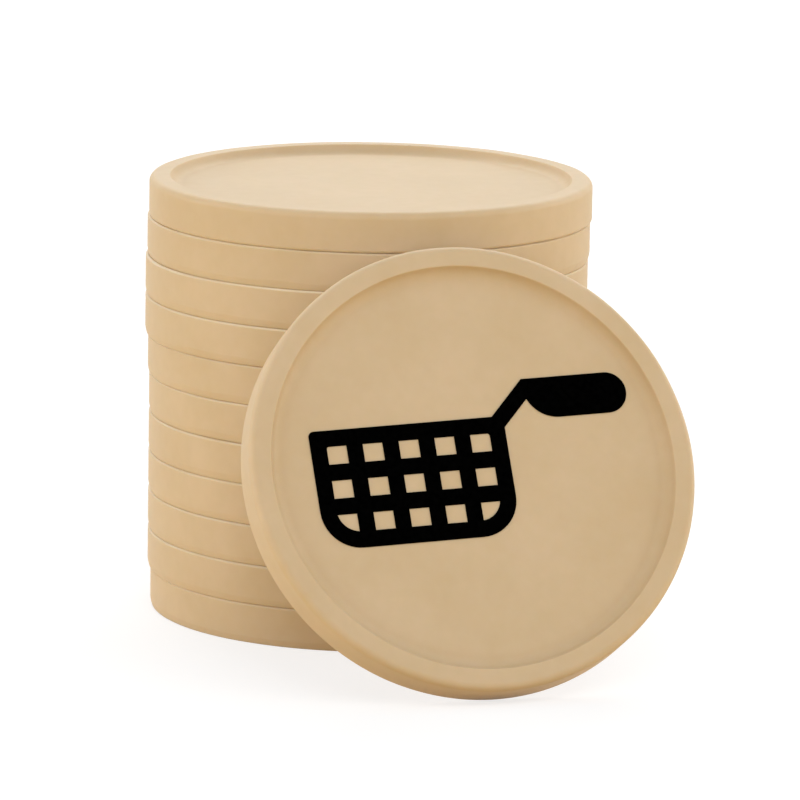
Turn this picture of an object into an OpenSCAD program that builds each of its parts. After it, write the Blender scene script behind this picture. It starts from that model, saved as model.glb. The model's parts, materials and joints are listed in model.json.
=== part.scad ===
// A stack of round moulded game tokens, with one more token that leans on it and carries a printed emblem.
// The origin is the centre of the lowest token's underside, at table height. +Z is up, -Y is the front.

/* [Token] */
// Outside diameter of a token
token_d = 29; // [20:0.5:45]
// Thickness of a token, from rim to rim
token_t = 2.6; // [1.8:0.1:4]
// Width of the raised rim, from the outer edge to where it turns down into the recess
rim_w = 1.3; // [1:0.1:3]
// Depth of the round recess in each face
recess_depth = 0.6; // [0.2:0.05:0.7]
// Slope of the recess wall, in degrees
wall_slope = 65; // [45:1:80]
// Rounding of the rim's inner edge
rim_r = 0.1; // [0.05:0.05:0.4]
// Fillet between the recess wall and the recess floor
floor_r = 0.85; // [0.1:0.05:1]
// Rounding of the outer edge on the front
front_r = 0.3; // [0.1:0.05:0.6]
// Rounding of the outer edge on the back
back_r = 0.1; // [0.05:0.05:0.3]

/* [Stack] */
// Number of tokens in the stack
stack_count = 11; // [2:1:20]

/* [Leaning token] */
// Lean back from upright, in degrees
lean_angle = 27.5; // [10:0.5:40]
// Bearing round the stack, from its front towards +X, in degrees
lean_bearing = 16; // [-60:1:60]
// Clearance between the leaning token and the furthest-out token that it leans on
lean_gap = 0.1; // [0.05:0.05:0.4]

/* [Printed emblem] */
// Thickness of the ink film
ink_t = 0.06; // [0.02:0.01:0.15]
// Turn of the emblem on the token's face, in degrees
emblem_tilt = 2.4; // [-180:0.1:180]
// Place of the basket's centre, across the face from the token's centre
basket_x = -3.85; // [-5:0.05:-3]
// Place of the basket's centre, up the face from the token's centre
basket_y = -0.8; // [-2:0.05:1]
// Width of the basket
basket_w = 12.8; // [8:0.1:14]
// Height of the basket
basket_h = 7.7; // [5:0.1:10]
// Columns of openings in the basket
basket_columns = 5; // [2:1:7]
// Rows of openings in the basket
basket_rows = 3; // [1:1:5]
// Width of the basket's printed wires and of the arm
wire_w = 1.05; // [0.5:0.05:1.2]
// Rounding of the basket's upper corners
upper_r = 0.35; // [0.1:0.05:0.5]
// Rounding of the basket's lower corners
lower_r = 2.5; // [1.5:0.1:3]
// Height of the grip's upper edge above the basket
arm_rise = 2.3; // [1:0.05:4]
// Slope of the arm, in degrees
arm_slope = 45; // [30:1:70]
// Length of the grip
grip_l = 6.8; // [4:0.1:8]
// Height of the grip, whose far end is a half circle
grip_h = 2.65; // [1.5:0.05:4]
// Rounding of the grip's heel, beside the arm
heel_r = 2.2; // [0.5:0.1:2.5]
// Least bare margin between the emblem and the recess wall
print_margin = 0.5; // [0.2:0.1:2]

/* [Hidden] */
$fn = 96;
token_colour = "#D3B890";
ink_colour = "#050505";

// How far each stacked token has slipped from the stack's axis, lowest first
slip_x = [0, -0.2, -0.2, -0.2, -0.2, -0.2, -0.3, -0.5, -0.5, -0.4, -0.3];
slip_y = [0, 0, 0, 0, 0, 0.1, 0.1, 0.1, 0.1, 0.1, 0];

token_r = token_d / 2;
half_t = token_t / 2;
stack_h = stack_count * token_t;

// The recess wall: a rounding, a straight slope and a fillet, whose radii shrink together where the recess is
// too shallow for them, so that some slope is left between them
least_drop = 0.03;
wall_drop = (rim_r + floor_r) * (1 - cos(wall_slope));
wall_fit = min(1, (recess_depth - least_drop) / wall_drop);
rim_round = rim_r * wall_fit;
floor_fillet = floor_r * wall_fit;
slope_drop = recess_depth - wall_drop * wall_fit;
wall_run = (rim_round + floor_fillet) * sin(wall_slope) + slope_drop / tan(wall_slope);
recess_r = token_r - rim_w;
flat_r = recess_r - wall_run;
// How far a cutting shape runs past the face that it cuts
overcut = 1;

// The rounded lower and upper back edges of the leaning token, as the centres of their rounding,
// measured from the token's own centre
edge_back = half_t - back_r;
edge_out = token_r - back_r;
lean_height = back_r + edge_back * sin(lean_angle) + edge_out * cos(lean_angle);
lean_top = back_r + 2 * edge_out * cos(lean_angle);

function slip(i) = [slip_x[(i - 1) % len(slip_x)], slip_y[(i - 1) % len(slip_y)]];
function outward(i) = slip(i) * [sin(lean_bearing), -cos(lean_bearing)];

// The furthest-out token that can be lifted past the leaning one
lean_seat = max([for (i = [2 : stack_count]) outward(i)]);
// On a high stack the upper back edge rests on a token's side
reach_on_side = token_r + lean_gap + back_r + edge_back * cos(lean_angle) + edge_out * sin(lean_angle);
// On a low stack the back face rests on the top token's upper edge
brow = stack_h - front_r;
brow_reach = half_t + front_r + lean_gap - (lean_height - brow) * sin(lean_angle);
reach_on_edge = token_r - front_r + brow_reach / cos(lean_angle);
lean_reach = lean_seat + (lean_top < brow ? reach_on_side : reach_on_edge);

// Sizes of the openings in the printed basket
opening_w = (basket_w - (basket_columns + 1) * wire_w) / basket_columns;
opening_h = (basket_h - (basket_rows + 1) * wire_w) / basket_rows;

// The slanting arm's middle line, from the basket's upper wire to the grip's upper edge,
// and half of its width along the level
arm_foot = [basket_w - wire_w, basket_h - wire_w] / 2;
arm_head_y = basket_h / 2 + arm_rise;
arm_head_x = arm_foot.x + (arm_head_y - arm_foot.y) / tan(arm_slope);
arm_half = wire_w / 2 / sin(arm_slope);

// The grip's near end, and the middle of its round far end
grip_start = arm_head_x - arm_half;
grip_end = [grip_start + grip_l - grip_h / 2, arm_head_y - grip_h / 2];
heel_round = min(heel_r, grip_h);

// The emblem keeps its own size, unless the recess is too small for it
function on_face(p) = [basket_x, basket_y] + [
    p.x * cos(emblem_tilt) - p.y * sin(emblem_tilt),
    p.x * sin(emblem_tilt) + p.y * cos(emblem_tilt)
];
emblem_reach = max(
    norm(on_face(grip_end)) + grip_h / 2,
    norm(on_face([-basket_w, basket_h] / 2)),
    norm(on_face([-basket_w, -basket_h] / 2))
);
print_scale = min(1, (flat_r - print_margin) / emblem_reach);

function token_name(i) = str("token_", i < 10 ? "0" : "", i);

// The corner that is left outside a round of radius r, in the quadrant of the signs sx and sy
module corner_waste(r, sx, sy) {
    difference() {
        translate([sx * overcut / 2, sy * overcut / 2])
            square(2 * r + overcut, center = true);
        circle(r);
        translate([-sx * (r + overcut), 0])
            square([2 * (r + overcut), 4 * (r + overcut)], center = true);
        translate([0, -sy * (r + overcut)])
            square([4 * (r + overcut), 2 * (r + overcut)], center = true);
    }
}

// Half section of one recess, with its floor at height 0
module recess_section() {
    rim_middle = [recess_r, recess_depth - rim_round];
    fillet_middle = [flat_r, floor_fillet];
    across_wall = [sin(wall_slope), -cos(wall_slope)];
    difference() {
        polygon([
            [0, 0],
            [flat_r, 0],
            fillet_middle,
            fillet_middle + floor_fillet * across_wall,
            rim_middle - rim_round * across_wall,
            rim_middle,
            [recess_r, recess_depth + overcut],
            [0, recess_depth + overcut]
        ]);
        translate(rim_middle)
            circle(rim_round);
    }
    translate(fillet_middle)
        circle(floor_fillet);
}

// Half section of a token, with its middle plane at height 0 and its front above
module token_section() {
    difference() {
        translate([0, -half_t])
            square([token_r, token_t]);
        translate([token_r - front_r, half_t - front_r])
            corner_waste(front_r, 1, 1);
        translate([token_r - back_r, back_r - half_t])
            corner_waste(back_r, 1, -1);
        for (flip = [0, 1])
            mirror([0, flip])
                translate([0, half_t - recess_depth])
                    recess_section();
    }
}

// One moulded token, centred on its own middle
module token_blank() {
    rotate_extrude()
        token_section();
}

// The top token lies face up, and those under it lie face down, with their sharper edges uppermost
module stacked_token(i) {
    color(token_colour)
        translate([slip(i).x, slip(i).y, (i - 0.5) * token_t])
            rotate([i < stack_count ? 180 : 0, 0, 0])
                token_blank();
}

// Moves a flat-lying token's shape to where the leaning token stands
module at_leaning_place() {
    rotate([0, 0, lean_bearing])
        translate([0, -lean_reach, lean_height])
            rotate([90 - lean_angle, 0, 0])
                children();
}

module leaning_token() {
    color(token_colour)
        at_leaning_place()
            token_blank();
}

// A plate centred on the origin, with one radius at the upper corners and another at the lower ones
module rounded_plate(w, h, r_upper, r_lower) {
    difference() {
        square([w, h], center = true);
        for (sx = [-1, 1]) {
            translate([sx * (w / 2 - r_upper), h / 2 - r_upper])
                corner_waste(r_upper, sx, 1);
            translate([sx * (w / 2 - r_lower), r_lower - h / 2])
                corner_waste(r_lower, sx, -1);
        }
    }
}

// The printed basket: a plate of wire with a grid of openings, clipped to an even border
module basket_print() {
    difference() {
        rounded_plate(basket_w, basket_h, upper_r, lower_r);
        intersection() {
            rounded_plate(basket_w - 2 * wire_w, basket_h - 2 * wire_w, upper_r / 2, lower_r - wire_w);
            for (column = [1 : basket_columns], row = [1 : basket_rows])
                translate([
                    column * (opening_w + wire_w) - opening_w / 2 - basket_w / 2,
                    row * (opening_h + wire_w) - opening_h / 2 - basket_h / 2
                ])
                    square([opening_w, opening_h], center = true);
        }
    }
}

// The slanting arm, closed inside the basket's upper corner
module arm_print() {
    side_y = arm_foot.y + (basket_w / 2 - arm_half - arm_foot.x) * tan(arm_slope);
    upper_x = arm_foot.x - arm_half + (basket_h / 2 - arm_foot.y) / tan(arm_slope);
    polygon([
        [basket_w / 2, side_y],
        [arm_head_x + arm_half, arm_head_y],
        [grip_start, arm_head_y],
        [upper_x, basket_h / 2],
        arm_foot - [wire_w, wire_w] / 2
    ]);
}

// The grip: a bar with a half-round far end and a rounded heel
module grip_print() {
    difference() {
        translate([grip_start, arm_head_y - grip_h])
            square([grip_end.x - grip_start, grip_h]);
        translate([grip_start + heel_round, arm_head_y - grip_h + heel_round])
            corner_waste(heel_round, -1, -1);
    }
    translate(grip_end)
        circle(grip_h / 2);
}

module printed_emblem() {
    color(ink_colour)
        at_leaning_place()
            translate([0, 0, half_t - recess_depth])
                linear_extrude(ink_t)
                    scale(print_scale)
                        translate([basket_x, basket_y])
                            rotate(emblem_tilt) {
                                basket_print();
                                arm_print();
                                grip_print();
                            }
}

for (i = [1 : stack_count])
    stacked_token(i);
leaning_token();
printed_emblem();
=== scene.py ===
"""A stack of eleven moulded game tokens, and a printed twelfth token that leans on it.

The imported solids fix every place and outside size. This script turns a finer mesh for each token, with the
slightly uneven edges of a moulded disc, lays the ink film on the leaning one, gives plastic and ink their
surfaces, and sets up a plain white studio. Lengths are in millimetres until Blender needs them in metres.
"""

import json
import logging
import math
import random
from dataclasses import dataclass, replace
from enum import Enum

import bpy
import numpy as np
from mathutils import Matrix, Vector


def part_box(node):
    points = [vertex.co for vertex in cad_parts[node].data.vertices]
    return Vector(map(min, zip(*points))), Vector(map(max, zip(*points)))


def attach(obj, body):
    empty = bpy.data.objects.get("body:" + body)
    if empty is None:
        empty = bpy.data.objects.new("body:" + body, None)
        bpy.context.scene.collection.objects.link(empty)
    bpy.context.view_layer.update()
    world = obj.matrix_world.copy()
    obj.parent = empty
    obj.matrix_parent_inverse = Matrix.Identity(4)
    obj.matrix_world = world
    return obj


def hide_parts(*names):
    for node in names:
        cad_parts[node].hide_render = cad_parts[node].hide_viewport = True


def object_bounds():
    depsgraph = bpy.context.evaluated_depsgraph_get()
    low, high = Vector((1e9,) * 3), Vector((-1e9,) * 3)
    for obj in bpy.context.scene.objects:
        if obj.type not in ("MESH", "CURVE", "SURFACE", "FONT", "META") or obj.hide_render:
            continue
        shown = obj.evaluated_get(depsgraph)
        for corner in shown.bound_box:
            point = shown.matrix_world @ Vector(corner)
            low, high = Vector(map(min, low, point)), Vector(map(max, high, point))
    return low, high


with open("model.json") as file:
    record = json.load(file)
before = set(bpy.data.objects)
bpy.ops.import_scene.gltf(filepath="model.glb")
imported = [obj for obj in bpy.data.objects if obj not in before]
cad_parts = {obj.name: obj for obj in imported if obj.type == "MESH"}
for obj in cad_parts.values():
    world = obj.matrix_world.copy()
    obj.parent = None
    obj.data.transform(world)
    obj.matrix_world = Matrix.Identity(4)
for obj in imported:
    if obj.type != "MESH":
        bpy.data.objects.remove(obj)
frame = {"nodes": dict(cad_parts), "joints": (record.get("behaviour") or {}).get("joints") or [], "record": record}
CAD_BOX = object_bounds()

LOG = logging.getLogger("tokens")
MM = 0.001
IMAGE_PX = 800
# Name of the value that a mesh carries where a painted highlight pales its edges
PAINTED_HIGHLIGHT = "painted_edge_highlight"


class Face(Enum):
    """The two faces of a token, by the way each looks along the token's own axis."""

    UPPER = 1
    LOWER = -1


def linear(hex_colour: str) -> tuple[float, float, float, float]:
    """Turn an sRGB hex colour into linear light.

    Args:
        hex_colour: A colour such as "#D3B890".

    Returns:
        Linear red, green, blue and an alpha of one.
    """
    channels = []
    for start in (1, 3, 5):
        value = int(hex_colour[start:start + 2], 16) / 255
        channels.append(value / 12.92 if value <= 0.04045 else ((value + 0.055) / 1.055) ** 2.4)
    return (*channels, 1.0)


def add_node(
    tree: bpy.types.NodeTree,
    kind: str,
    inputs: dict[str | int, object] | None = None,
    **settings: object,
) -> bpy.types.Node:
    """Add one node to a tree, with its settings and links.

    Args:
        tree: The node tree that gets the node.
        kind: Blender's type name of the node.
        inputs: For each input, by name or number, a constant or the output socket that feeds it.
        **settings: Attributes of the node itself.

    Returns:
        The new node.
    """
    node = tree.nodes.new(kind)
    for name, value in settings.items():
        setattr(node, name, value)
    for key, value in (inputs or {}).items():
        if isinstance(value, bpy.types.NodeSocket):
            tree.links.new(value, node.inputs[key])
        else:
            node.inputs[key].default_value = value
    return node


def empty_material(name: str) -> tuple[bpy.types.Material, bpy.types.NodeTree]:
    """Make a material with no nodes in it.

    Args:
        name: Name of the material.

    Returns:
        The material and its node tree.
    """
    material = bpy.data.materials.new(name)
    material.use_nodes = True
    material.node_tree.nodes.clear()
    return material, material.node_tree


def per_metre(size_mm: float) -> float:
    """Scale of a noise pattern whose features are size_mm wide, on coordinates in metres."""
    return 1.0 / (size_mm * MM)


def seen_directly(tree: bpy.types.NodeTree) -> bpy.types.NodeSocket:
    """Tell rays that look at the white from rays that light the object.

    Args:
        tree: The node tree that asks.

    Returns:
        An output that is one for camera, glossy and transmission rays.
    """
    path = add_node(tree, "ShaderNodeLightPath")
    sharp = add_node(
        tree,
        "ShaderNodeMath",
        {0: path.outputs["Is Camera Ray"], 1: path.outputs["Is Glossy Ray"]},
        operation="MAXIMUM",
    )
    either = add_node(
        tree,
        "ShaderNodeMath",
        {0: sharp.outputs[0], 1: path.outputs["Is Transmission Ray"]},
        operation="MAXIMUM",
    )
    return either.outputs[0]


@dataclass(frozen=True)
class MouldedPlastic:
    """Sand-coloured ABS, injection moulded in a lightly blasted mould.

    The blasted mould gives a matte skin that still brightens at a grazing look. The pigment is stirred in
    and leaves faint clouds, and handling leaves a little unevenness in the sheen.
    """

    name: str = "moulded_abs_sand"
    deep: str = "#D0B791"
    middle: str = "#D3BB97"
    pale: str = "#D7BF9D"
    # Where the three colours stand on the sum of clouds and flecks
    deep_at: float = 0.45
    middle_at: float = 0.67
    pale_at: float = 0.9
    cloud_mm: float = 6.0
    # The span that holds nearly all of the clouds' values
    cloud_span: tuple[float, float] = (0.25, 0.75)
    fleck_mm: float = 0.9
    fleck_share: float = 0.35
    ior: float = 1.54
    # The blasted grain scatters part of the mirror reflection at a square look, and little at a grazing one.
    specular_level: float = 0.2
    # Light seeps a little way into the plastic, red the furthest, which softens and warms the shade.
    seep_weight: float = 0.2
    seep_mm: tuple[float, float, float] = (0.5, 0.25, 0.1)
    # Painted shade: the corner between the rim and the recess is darkened with a brown tint. It is full where the
    # corner lets in no more light than the shut share, and none is left at the open share.
    painted_corner_shade: str = "#D2B482"
    corner_shade_reach_mm: float = 1.2
    corner_shade_samples: int = 12
    shut_corner: float = 0.5
    open_corner: float = 0.97
    # A painted highlight pales the sharpest edges, the back ones, where they catch light. The mesh says where they
    # are.
    painted_edge_highlight: str = "#EBDCC2"
    roughness: float = 0.5
    roughness_swing: float = 0.06
    # A blasted mould leaves grains of about 0.05 mm. They are drawn five times as wide, so that they show.
    grain_mm: float = 0.25
    grain_height_mm: float = 0.004

    def pigment(
        self, tree: bpy.types.NodeTree, place: bpy.types.NodeSocket, clouds: bpy.types.NodeSocket
    ) -> bpy.types.NodeSocket:
        """Mix the colour that the plastic has from the mould.

        Args:
            tree: The material's node tree.
            place: Coordinates on the token, in metres.
            clouds: The slow clouds in the pigment.

        Returns:
            The output with the colour.
        """
        flecks = add_node(
            tree,
            "ShaderNodeTexNoise",
            {"Vector": place, "Scale": per_metre(self.fleck_mm), "Detail": 2.0, "Roughness": 0.5},
        )
        shade = add_node(
            tree,
            "ShaderNodeMath",
            {0: flecks.outputs["Fac"], 1: self.fleck_share, 2: clouds},
            operation="MULTIPLY_ADD",
        )
        colour = add_node(tree, "ShaderNodeValToRGB", {"Fac": shade.outputs[0]})
        ramp = colour.color_ramp
        ramp.elements[0].position = self.deep_at
        ramp.elements[0].color = linear(self.deep)
        ramp.elements[1].position = self.pale_at
        ramp.elements[1].color = linear(self.pale)
        ramp.elements.new(self.middle_at).color = linear(self.middle)
        return colour.outputs["Color"]

    def paint_shade_and_highlight(self, tree: bpy.types.NodeTree, colour: bpy.types.NodeSocket) -> bpy.types.NodeSocket:
        """Lay painted light on the colour: painted shade in the recess corners, and a painted highlight on the
        back edges.

        Args:
            tree: The material's node tree.
            colour: The colour from the mould.

        Returns:
            The output with the colour and its painted shade and highlight.
        """
        # Painted shade: the colour darkens to a brown tint in the recess corners, by how little light reaches
        # them.
        corners = add_node(
            tree,
            "ShaderNodeAmbientOcclusion",
            {"Distance": self.corner_shade_reach_mm * MM},
            samples=self.corner_shade_samples,
            only_local=True,
        )
        corner_shading = add_node(
            tree,
            "ShaderNodeMapRange",
            {
                "Value": corners.outputs["AO"],
                "From Min": self.shut_corner,
                "From Max": self.open_corner,
                "To Min": 1.0,
                "To Max": 0.0,
            },
        )
        corner_shaded = add_node(
            tree,
            "ShaderNodeMix",
            {0: corner_shading.outputs["Result"], 6: colour, 7: linear(self.painted_corner_shade)},
            data_type="RGBA",
            blend_type="MULTIPLY",
        )
        # Painted highlight: the back edges turn paler where the mesh marks them, standing in for the light they
        # catch.
        edges = add_node(tree, "ShaderNodeAttribute", attribute_name=PAINTED_HIGHLIGHT)
        painted_edge_highlight = add_node(
            tree,
            "ShaderNodeMix",
            {0: edges.outputs["Fac"], 6: corner_shaded.outputs[2], 7: linear(self.painted_edge_highlight)},
            data_type="RGBA",
        )
        return painted_edge_highlight.outputs[2]

    def material(self) -> bpy.types.Material:
        """Build the plastic's material.

        Returns:
            The material.
        """
        material, tree = empty_material(self.name)
        place = add_node(tree, "ShaderNodeTexCoord").outputs["Object"]
        clouds = add_node(
            tree,
            "ShaderNodeTexNoise",
            {"Vector": place, "Scale": per_metre(self.cloud_mm), "Detail": 3.0, "Roughness": 0.55},
        )
        grain = add_node(
            tree,
            "ShaderNodeTexNoise",
            {"Vector": place, "Scale": per_metre(self.grain_mm), "Detail": 2.0, "Roughness": 0.6},
        )
        colour = self.pigment(tree, place, clouds.outputs["Fac"])
        sheen = add_node(
            tree,
            "ShaderNodeMapRange",
            {
                "Value": clouds.outputs["Fac"],
                "From Min": self.cloud_span[0],
                "From Max": self.cloud_span[1],
                "To Min": self.roughness - self.roughness_swing,
                "To Max": self.roughness + self.roughness_swing,
            },
        )
        skin = add_node(
            tree,
            "ShaderNodeBump",
            {"Height": grain.outputs["Fac"], "Strength": 1.0, "Distance": self.grain_height_mm * MM},
        )
        surface = add_node(
            tree,
            "ShaderNodeBsdfPrincipled",
            {
                "Base Color": self.paint_shade_and_highlight(tree, colour),
                "Roughness": sheen.outputs["Result"],
                "IOR": self.ior,
                "Specular IOR Level": self.specular_level,
                "Subsurface Weight": self.seep_weight,
                "Subsurface Radius": self.seep_mm,
                "Subsurface Scale": MM,
                "Normal": skin.outputs["Normal"],
            },
        )
        add_node(tree, "ShaderNodeOutputMaterial", {"Surface": surface.outputs["BSDF"]})
        return material


@dataclass(frozen=True)
class ScreenInk:
    """Carbon-black ink, screen printed and dried to a dead matte film.

    The film swallows nearly all light, so that it looks flat black. Its binder dries a little unevenly,
    which leaves faint, slightly lighter grains.
    """

    name: str = "screen_printed_black_ink"
    black: str = "#010101"
    grey: str = "#040404"
    # Where the two blacks stand on the grains' noise
    black_at: float = 0.35
    grey_at: float = 0.75
    ior: float = 1.5
    specular_level: float = 0.0
    roughness: float = 0.85
    mesh_mm: float = 0.3

    def material(self) -> bpy.types.Material:
        """Build the ink's material.

        Returns:
            The material.
        """
        material, tree = empty_material(self.name)
        place = add_node(tree, "ShaderNodeTexCoord").outputs["Object"]
        grains = add_node(
            tree,
            "ShaderNodeTexNoise",
            {"Vector": place, "Scale": per_metre(self.mesh_mm), "Detail": 2.0},
        )
        colour = add_node(tree, "ShaderNodeValToRGB", {"Fac": grains.outputs["Fac"]})
        ramp = colour.color_ramp
        ramp.elements[0].position = self.black_at
        ramp.elements[0].color = linear(self.black)
        ramp.elements[1].position = self.grey_at
        ramp.elements[1].color = linear(self.grey)
        surface = add_node(
            tree,
            "ShaderNodeBsdfPrincipled",
            {
                "Base Color": colour.outputs["Color"],
                "Roughness": self.roughness,
                "IOR": self.ior,
                "Specular IOR Level": self.specular_level,
            },
        )
        add_node(tree, "ShaderNodeOutputMaterial", {"Surface": surface.outputs["BSDF"]})
        return material


@dataclass(frozen=True)
class PaperSweep:
    """White background paper with a matt coating.

    The coating has no shine, so that the eye sees one even white with a soft shadow on it.
    """

    name: str = "matt_coated_white_paper"
    # The tokens tint the light that the sheet under them sends back up.
    bounce: str = "#E1C486"
    # The camera sees a glow with a share of the lit white on top, so that the paper is white where no shadow
    # falls and the shadow stays soft.
    glow: float = 0.72
    share: str = "#A0A0A0"

    def material(self) -> bpy.types.Material:
        """Build the paper's material.

        Returns:
            The material.
        """
        material, tree = empty_material(self.name)
        lit = add_node(tree, "ShaderNodeBsdfDiffuse", {"Color": linear(self.bounce)})
        share = add_node(tree, "ShaderNodeBsdfDiffuse", {"Color": linear(self.share)})
        glow = add_node(tree, "ShaderNodeEmission", {"Strength": self.glow})
        seen = add_node(tree, "ShaderNodeAddShader", {0: share.outputs[0], 1: glow.outputs[0]})
        surface = add_node(
            tree,
            "ShaderNodeMixShader",
            {0: seen_directly(tree), 1: lit.outputs[0], 2: seen.outputs[0]},
        )
        add_node(tree, "ShaderNodeOutputMaterial", {"Surface": surface.outputs[0]})
        return material


@dataclass(frozen=True)
class Unevenness:
    """A slow, repeatable swing round a disc, as a mould and its shrinkage leave it.

    Attributes:
        draw: Number that keeps this swing's random draw apart from the token's other ones.
        highest: Most waves round the disc.
        lowest: Fewest waves round the disc.
        faintest: Least height of a wave, where the greatest is 1.
    """

    draw: int
    highest: int
    lowest: int = 2
    faintest: float = 0.3

    def swing(self, seed: int, angles: np.ndarray) -> np.ndarray:
        """Work out the swing.

        Args:
            seed: Number that picks the swing.
            angles: Angles round the disc, in radians.

        Returns:
            A value from 0 to 1 for each angle.
        """
        dice = random.Random(seed + self.draw)
        total = np.zeros_like(angles)
        for waves in range(self.lowest, self.highest + 1):
            height = dice.uniform(self.faintest, 1.0) / math.sqrt(waves)
            total += height * np.cos(waves * angles + dice.uniform(0.0, math.tau))
        return (1 + total / np.abs(total).max()) / 2


@dataclass(frozen=True)
class OuterEdge:
    """How a token's face turns into its side, in millimetres.

    Attributes:
        inset: How far the edge draws in from the side.
        drop: Over what height it does so.
        bow: From 0 for a straight bevel to 1 for a quarter of an ellipse.
        highlight: How far a painted highlight pales it, from 0 to 1.
    """

    inset: float
    drop: float
    bow: float
    rub: float

    def shares(self, steps: int) -> list[tuple[float, float, float]]:
        """Points of the edge, from the face to the side.

        Args:
            steps: Number of steps between the two.

        Returns:
            For each point, its share of the inset outward, its share of the drop upward, and its painted
            highlight.
        """
        points = []
        for step in range(steps + 1):
            way = step / steps
            angle = math.radians(90.0 * way)
            out = (1 - self.bow) * way + self.bow * math.sin(angle)
            up = (1 - self.bow) * (1 - way) + self.bow * math.cos(angle)
            points.append((out, up, self.rub * math.sin(math.pi * way)))
        return points


@dataclass
class TokenShape:
    """Sizes of one moulded token, in millimetres."""

    diameter: float
    thickness: float
    rim_width: float = 1.3
    recess_depth: float = 0.6
    wall_slope: float = 65.0
    lip_radius: float = 0.1
    floor_fillet: float = 0.85
    front: OuterEdge = OuterEdge(inset=0.08, drop=0.35, bow=0.25, rub=0.0)
    back: OuterEdge = OuterEdge(inset=0.12, drop=0.1, bow=0.5, rub=0.9)
    # Shares of the edge, and lengths, by which the mould and the shrinkage leave a token uneven, and how unevenly
    # the painted highlight runs round its back edge
    edge_swing: float = 0.6
    out_of_round: float = 0.02
    rim_dip: float = 0.012
    highlight_swing: float = 0.8
    edge_waves: Unevenness = Unevenness(draw=0, highest=23)
    dip_waves: Unevenness = Unevenness(draw=3, highest=5)
    round_waves: Unevenness = Unevenness(draw=7, highest=6)
    highlight_waves: Unevenness = Unevenness(draw=11, highest=40)
    # Long handling rounds the front edge off, and more evenly than the mould leaves it.
    worn_front: OuterEdge = OuterEdge(inset=0.4, drop=0.4, bow=1.0, rub=0.0)
    worn_swing: float = 0.3
    # Width of the narrow ring of faces that keeps a flat stretch flat beside a round one
    guard: float = 0.05
    turns: int = 240
    floor_rings: int = 9
    arc_steps: int = 7

    def worn(self) -> "TokenShape":
        """The same token after long handling."""
        return replace(self, front=self.worn_front, edge_swing=self.worn_swing)

    def arc(self, radius: float, start: float, end: float) -> list[tuple[float, float]]:
        """Points of a round stretch of the section, from its own centre.

        Args:
            radius: Radius of the round.
            start: First angle, in degrees.
            end: Last angle, in degrees.

        Returns:
            Outward and upward steps from the centre, one pair for each point.
        """
        points = []
        for step in range(self.arc_steps + 1):
            angle = math.radians(start + (end - start) * step / self.arc_steps)
            points.append((radius * math.cos(angle), radius * math.sin(angle)))
        return points

    def face_rings(
        self, face: Face, angles: np.ndarray, seed: int
    ) -> list[tuple[np.ndarray, np.ndarray, np.ndarray]]:
        """Rings of one face, from the recess's middle over the rim to the side.

        Args:
            face: Which face.
            angles: Angles round the disc, in radians.
            seed: Number that picks the unevenness.

        Returns:
            Radius, height and painted highlight of each ring, at every angle.
        """
        even = np.ones_like(angles)
        plain = np.zeros_like(angles)
        half = self.thickness / 2
        face_seed = seed + face.value
        edge = self.front if face is Face.UPPER else self.back
        swell = 1 + self.edge_swing * self.edge_waves.swing(face_seed, angles)
        inset = swell * edge.inset
        drop = swell * edge.drop
        highlight_strength = 1 - self.highlight_swing * self.highlight_waves.swing(face_seed, angles)
        outside = self.outside(angles, seed)
        top = half - self.rim_dip * self.dip_waves.swing(face_seed, angles)
        floor = half - self.recess_depth
        lip_end = self.diameter / 2 - self.rim_width
        flat_end = lip_end - self.wall_run()
        rings = []
        for ring in range(1, self.floor_rings):
            rings.append((flat_end * ring / self.floor_rings * even, floor * even, plain))
        rings.append(((flat_end - self.guard) * even, floor * even, plain))
        for out, up in self.arc(self.floor_fillet, -90, self.wall_slope - 90):
            rings.append(((flat_end + out) * even, (floor + self.floor_fillet + up) * even, plain))
        for out, up in self.arc(self.lip_radius, self.wall_slope + 90, 90):
            rings.append(((lip_end + out) * even, top - self.lip_radius + up, plain))
        rings.append(((lip_end + self.guard) * even, top, plain))
        rings.append((outside - inset - self.guard, top, plain))
        for out, up, rub in edge.shares(self.arc_steps):
            rings.append((outside - inset * (1 - out), top - drop * (1 - up), rub * highlight_strength))
        rings.append((outside, top - drop - self.guard, plain))
        return [(radius, face.value * height, rub) for radius, height, rub in rings]

    def wall_run(self) -> float:
        """Work out the width of the recess wall, from the flat floor to the flat rim.

        Returns:
            The width.
        """
        slope = math.radians(self.wall_slope)
        rounds = self.lip_radius + self.floor_fillet
        drop = self.recess_depth - rounds * (1 - math.cos(slope))
        return rounds * math.sin(slope) + drop / math.tan(slope)

    def outside(self, angles: np.ndarray, seed: int) -> np.ndarray:
        """Outside radius of the token at each angle, never above its true radius."""
        return self.diameter / 2 - self.out_of_round * self.round_waves.swing(seed, angles)

    def faces(self, ring_count: int) -> list[tuple[int, ...]]:
        """Join rings of points into faces, closed at both ends by a point in the middle.

        Args:
            ring_count: Number of rings, whose points come first and are followed by the two middle ones.

        Returns:
            The faces, as numbers of their points.
        """
        upper_middle = ring_count * self.turns
        lower_middle = upper_middle + 1
        last = upper_middle - self.turns
        faces = []
        for turn in range(self.turns):
            after = (turn + 1) % self.turns
            faces.append((upper_middle, turn, after))
            for here in range(0, last, self.turns):
                there = here + self.turns
                faces.append((here + turn, there + turn, there + after, here + after))
            faces.append((lower_middle, last + after, last + turn))
        return faces

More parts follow.
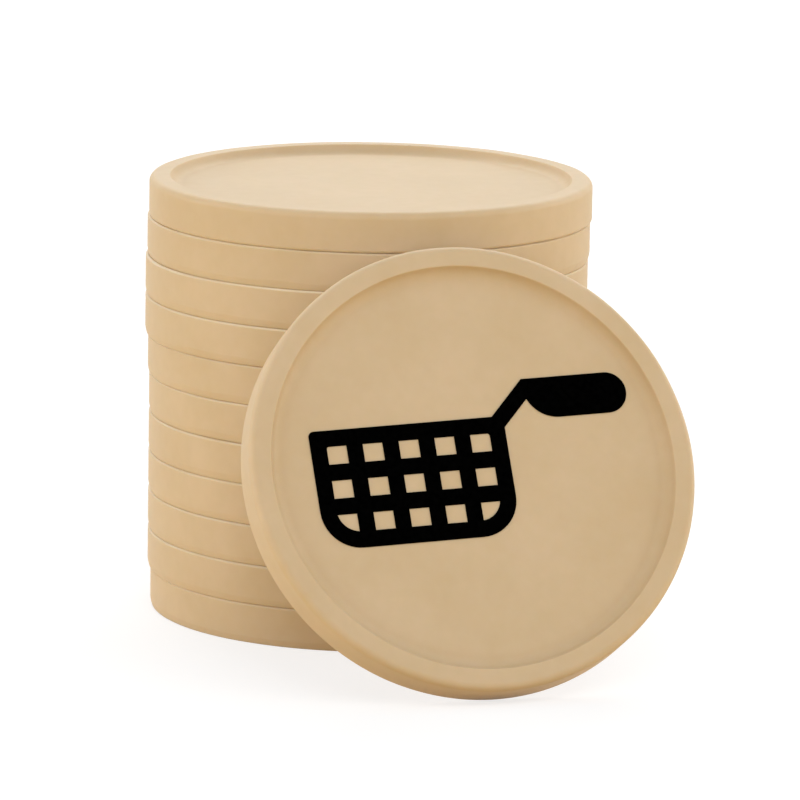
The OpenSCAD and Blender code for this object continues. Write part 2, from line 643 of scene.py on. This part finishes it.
    def mesh(self, name: str, seed: int, place: Matrix) -> bpy.types.Mesh:
        """Turn the section round the token's axis.

        Args:
            name: Name of the mesh.
            seed: Number that picks the unevenness.
            place: Where the token stands, in metres.

        Returns:
            A closed mesh, in the part's own frame.
        """
        angles = np.linspace(0.0, math.tau, self.turns, endpoint=False)
        upper = self.face_rings(Face.UPPER, angles, seed)
        lower = self.face_rings(Face.LOWER, angles, seed)
        rings = upper + lower[::-1]
        points = []
        highlights = []
        for radius, height, rub in rings:
            points.append(np.column_stack([radius * np.cos(angles), radius * np.sin(angles), height]))
            highlights.append(rub)
        middle = self.thickness / 2 - self.recess_depth
        points.append(np.array([[0.0, 0.0, middle], [0.0, 0.0, -middle]]))
        highlights.append(np.zeros(2))
        vertices = np.vstack(points) * MM
        mesh = bpy.data.meshes.new(name)
        mesh.from_pydata(vertices.tolist(), [], self.faces(len(rings)))
        # Share of the painted edge highlight at each point
        painted_edge_highlight = mesh.attributes.new(PAINTED_HIGHLIGHT, "FLOAT", "POINT")
        painted_edge_highlight.data.foreach_set("value", np.concatenate(highlights).astype(np.float32))
        mesh.transform(place)
        mesh.shade_smooth()
        mesh.update()
        return mesh


@dataclass
class Token:
    """One token of the set, in the place of its solid.

    Attributes:
        node: The solid that the token stands for.
        body: The body that it rides on.
        shape: Its sizes.
        tilt: How the token's own axis stands, as a turn from upright.
        seed: Number that picks its unevenness.
    """

    node: str
    body: str
    shape: TokenShape
    tilt: Matrix
    seed: int

    def middle(self) -> Vector:
        """Centre of the solid, from its box along the token's own axes.

        Returns:
            The centre, in metres.
        """
        vertices = frame["nodes"][self.node].data.vertices
        points = np.empty(len(vertices) * 3)
        vertices.foreach_get("co", points)
        turn = np.array(self.tilt.to_3x3())
        own = points.reshape(-1, 3) @ turn
        return Vector(turn @ (own.min(axis=0) + own.max(axis=0)) / 2)

    def build(self, finish: bpy.types.Material) -> bpy.types.Object:
        """Make the token, dress it and let it ride.

        Args:
            finish: Material of the plastic.

        Returns:
            The token's object.
        """
        place = Matrix.Translation(self.middle()) @ self.tilt
        name = "moulded_" + self.node
        piece = bpy.data.objects.new(name, self.shape.mesh(name, self.seed, place))
        bpy.context.scene.collection.objects.link(piece)
        piece.data.materials.append(finish)
        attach(piece, self.body)
        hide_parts(self.node)
        return piece


@dataclass
class TokenStack:
    """The plain tokens that lie on each other, of which the top one lies face up and is worn."""

    shape: TokenShape
    top_shape: TokenShape
    first_seed: int = 100
    seed_step: int = 20

    def build(self, finish: bpy.types.Material) -> list[bpy.types.Object]:
        """Make every stacked token.

        Args:
            finish: Material of the plastic.

        Returns:
            The tokens, lowest first.
        """
        homes = {}
        for body, nodes in frame["record"]["behaviour"]["bodies"].items():
            for node in nodes:
                homes[node] = body
        tokens = []
        stacked = sorted(node for node in homes if node.startswith("token_"))
        for count, node in enumerate(stacked):
            seed = self.first_seed + self.seed_step * count
            turn = Matrix.Rotation(random.Random(seed).uniform(0.0, math.tau), 4, "Z")
            shape = self.top_shape
            if node != stacked[-1]:
                shape = self.shape
                turn = turn @ Matrix.Rotation(math.pi, 4, "X")
            tokens.append(Token(node, homes[node], shape, turn, seed).build(finish))
        return tokens


@dataclass
class LeaningToken:
    """The token that leans on the stack, and its printed emblem."""

    shape: TokenShape
    lean_angle: float = 27.5
    seed: int = 900

    def upright(self) -> Matrix:
        """Turn that leans the token's axis back from level, square to its tipping hinge.

        Returns:
            The turn, as a matrix.
        """
        hinge = next(joint for joint in frame["joints"] if joint["name"] == "tip_forward")
        bearing = math.atan2(hinge["axis"][1], hinge["axis"][0])
        lean = math.radians(90.0 - self.lean_angle)
        return Matrix.Rotation(bearing, 4, "Z") @ Matrix.Rotation(lean, 4, "X")

    def build(self, finish: bpy.types.Material, ink: bpy.types.Material) -> list[bpy.types.Object]:
        """Make the token and dress its emblem.

        Args:
            finish: Material of the plastic.
            ink: Material of the ink film.

        Returns:
            The token and the emblem.
        """
        token = Token("leaning_token", "leaning", self.shape, self.upright(), self.seed).build(finish)
        emblem = frame["nodes"]["printed_emblem"]
        emblem.data.materials.clear()
        emblem.data.materials.append(ink)
        return [token, emblem]


@dataclass(frozen=True)
class SoftLamp:
    """A soft lamp with a rectangular front that is turned to the object.

    Attributes:
        name: Name of the lamp.
        azimuth: Bearing from the object, in degrees: 0 is the front, and 90 is the right.
        elevation: Height above the floor, as an angle from the object, in degrees.
        watts: Power.
        distance: Distance from the object.
        width: Width of its front.
        height: Height of its front.
    """

    name: str
    azimuth: float
    elevation: float
    watts: float
    distance: float = 900.0
    width: float = 900.0
    height: float = 340.0

    def build(self, target: Vector) -> None:
        """Hang the lamp.

        Args:
            target: The point that it is turned to, in metres.
        """
        side = math.radians(self.azimuth)
        up = math.radians(self.elevation)
        way = Vector((math.sin(side) * math.cos(up), -math.cos(side) * math.cos(up), math.sin(up)))
        lamp = bpy.data.lights.new(self.name, "AREA")
        lamp.shape = "RECTANGLE"
        lamp.size = self.width * MM
        lamp.size_y = self.height * MM
        lamp.energy = self.watts
        holder = bpy.data.objects.new(self.name, lamp)
        holder.location = target + way * self.distance * MM
        holder.rotation_euler = (-way).to_track_quat("-Z", "Y").to_euler()
        bpy.context.scene.collection.objects.link(holder)


@dataclass
class Studio:
    """A white floor in a white light tent, soft lamps, and the camera."""

    floor_size: float = 4000.0
    # A hair of space keeps the floor and the lowest token's underside from flickering into each other.
    floor_drop: float = 0.02
    paper: PaperSweep = PaperSweep()
    tent_white: str = "#FFFFFF"
    tent_strength: float = 0.4
    lamps: tuple[SoftLamp, ...] = (
        SoftLamp("left_soft_lamp", azimuth=-86.0, elevation=13.0, watts=3.75),
        SoftLamp("high_right_soft_lamp", azimuth=30.0, elevation=48.0, watts=2.65),
        SoftLamp("far_right_soft_lamp", azimuth=105.0, elevation=11.0, watts=2.9),
        SoftLamp("front_soft_lamp", azimuth=-8.0, elevation=9.0, watts=1.05),
        SoftLamp("back_soft_lamp", azimuth=180.0, elevation=42.0, watts=3.9),
    )
    camera_place: tuple[float, float, float] = (-0.3, -451.955, 102.745)
    camera_yaw: float = 0.2691
    camera_pitch: float = 11.1466
    camera_roll: float = 0.9224
    focal_px: float = 7000.0
    sensor_width: float = 36.0

    def build_floor(self) -> None:
        """Lay the white floor."""
        half = self.floor_size / 2 * MM
        drop = -self.floor_drop * MM
        mesh = bpy.data.meshes.new("studio_floor")
        corners = [(-half, -half, drop), (half, -half, drop), (half, half, drop), (-half, half, drop)]
        mesh.from_pydata(corners, [], [(0, 1, 2, 3)])
        mesh.materials.append(self.paper.material())
        floor = bpy.data.objects.new("studio_floor", mesh)
        bpy.context.scene.collection.objects.link(floor)

    def build_tent(self) -> None:
        """Make the white light tent."""
        world = bpy.data.worlds.new("white_light_tent")
        world.use_nodes = True
        tree = world.node_tree
        tree.nodes.clear()
        fabric = linear(self.tent_white)
        light = add_node(tree, "ShaderNodeBackground", {"Color": fabric, "Strength": self.tent_strength})
        white = add_node(tree, "ShaderNodeBackground", {"Color": fabric, "Strength": 1.0})
        surface = add_node(
            tree,
            "ShaderNodeMixShader",
            {0: seen_directly(tree), 1: light.outputs[0], 2: white.outputs[0]},
        )
        add_node(tree, "ShaderNodeOutputWorld", {"Surface": surface.outputs[0]})
        bpy.context.scene.world = world

    def build_camera(self) -> None:
        """Set up the camera where the picture was taken from."""
        lens = bpy.data.cameras.new("camera")
        lens.sensor_width = self.sensor_width
        lens.lens = self.focal_px / IMAGE_PX * self.sensor_width
        camera = bpy.data.objects.new("camera", lens)
        camera.matrix_world = (
            Matrix.Translation(Vector(self.camera_place) * MM)
            @ Matrix.Rotation(-math.radians(self.camera_yaw), 4, "Z")
            @ Matrix.Rotation(math.radians(90.0 - self.camera_pitch), 4, "X")
            @ Matrix.Rotation(math.radians(self.camera_roll), 4, "Z")
        )
        bpy.context.scene.collection.objects.link(camera)
        bpy.context.scene.camera = camera

    def build(self) -> None:
        """Set up everything round the object."""
        self.build_camera()
        self.build_floor()
        self.build_tent()
        middle = (CAD_BOX[0] + CAD_BOX[1]) / 2
        for lamp in self.lamps:
            lamp.build(middle)
        bpy.context.scene.view_settings.view_transform = "Standard"


def main() -> None:
    """Build the studio, the stack and the leaning token."""
    logging.basicConfig(level=logging.INFO, format="%(name)s: %(message)s")
    Studio().build()
    low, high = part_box("token_01")
    shape = TokenShape(diameter=(high.x - low.x) / MM, thickness=(high.z - low.z) / MM)
    plastic = MouldedPlastic().material()
    ink = ScreenInk().material()
    stack = TokenStack(shape, shape.worn())
    leaning = LeaningToken(shape.worn())
    pieces = stack.build(plastic) + leaning.build(plastic, ink)
    for piece in pieces:
        LOG.info("%s: %d faces", piece.name, len(piece.data.polygons))


if __name__ == "__main__":
    main()
